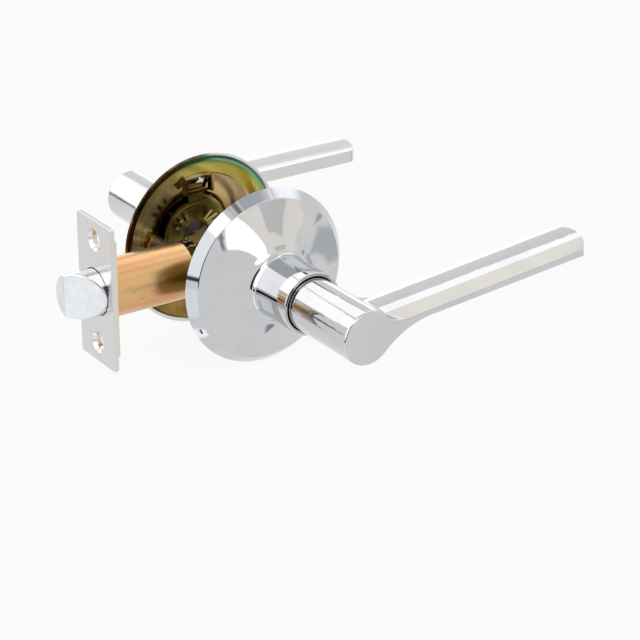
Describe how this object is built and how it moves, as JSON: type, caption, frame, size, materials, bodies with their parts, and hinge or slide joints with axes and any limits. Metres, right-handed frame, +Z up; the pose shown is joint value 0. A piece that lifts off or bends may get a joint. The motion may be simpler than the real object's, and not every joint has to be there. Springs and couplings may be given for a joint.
{
  "type": "lever door latch set",
  "caption": "Tubular passage latch set: chrome lever handles on round roses, gold plated latch tube and case, oblong faceplate and bevelled spring bolt.",
  "frame": {"origin": "on the bolt's axis, in the plane where the faceplate's back meets its backing plate, midway between the faceplate's screw holes", "axes": "+X into the door from its edge towards the spindle and the lever tips, +Y along the spindle from the front lever to the back lever, +Z up"},
  "size_m": [0.1743, 0.1692, 0.0696],
  "materials": {
    "chrome": "polished chrome plate",
    "bolt_chrome": "chrome plate, slightly worn",
    "faceplate_steel": "satin polished stainless",
    "backing_gold": "yellow zinc plate",
    "tube_gold": "copper-gold zinc plate",
    "case_gold": "olive-gold zinc plate",
    "liner_gold": "iridescent yellow zinc plate",
    "spring_steel": "oiled spring steel",
    "plain_steel": "bright zinc plate",
    "bush_brass": "plain bronze"
  },
  "bodies": {
    "fixed_parts": {"faceplate": "faceplate_steel", "faceplate_backing": "backing_gold", "latch_tube": "tube_gold", "case_body": "case_gold", "case_cover": "case_gold", "case_rivets": "case_gold", "mounting_posts": "plain_steel", "mounting_screws": "plain_steel", "front_rose": "chrome", "front_liner": "liner_gold", "front_spring_cover": "case_gold", "front_bush": "bush_brass", "front_return_spring": "spring_steel", "back_rose": "chrome", "back_liner": "liner_gold", "back_spring_cover": "case_gold", "back_bush": "bush_brass", "back_return_spring": "spring_steel"},
    "levers": {"front_lever": "chrome", "back_lever": "chrome", "spindle": "plain_steel", "latch_hub": "plain_steel", "front_retaining_ring": "spring_steel", "back_retaining_ring": "spring_steel"},
    "slide": {"retractor": "plain_steel", "bolt_spring": "spring_steel"},
    "bolt": {"latch_bolt": "bolt_chrome", "bolt_end_cap": "plain_steel"}
  },
  "joints": [
    {"name": "lever_turn", "type": "hinge", "parent": "fixed_parts", "child": "levers", "pos_m": [0.0584, 0, 0], "axis": [0, 1, 0], "range_deg": [0, 62], "stiffness_Nm_per_rad": 0.8, "springref_deg": -45.84},
    {"name": "retractor_slide", "type": "slide", "parent": "fixed_parts", "child": "slide", "axis": [1, 0, 0], "range_m": [0, 0.01094]},
    {"name": "bolt_slide", "type": "slide", "parent": "slide", "child": "bolt", "axis": [1, 0, 0], "range_m": [0, 0.0109], "stiffness_N_per_m": 400, "springref_m": -0.012, "deforming": ["bolt_spring"]}
  ],
  "couplings": [
    {"joint": "retractor_slide", "follows": "lever_turn", "m_per_rad": 0.010106}
  ]
}
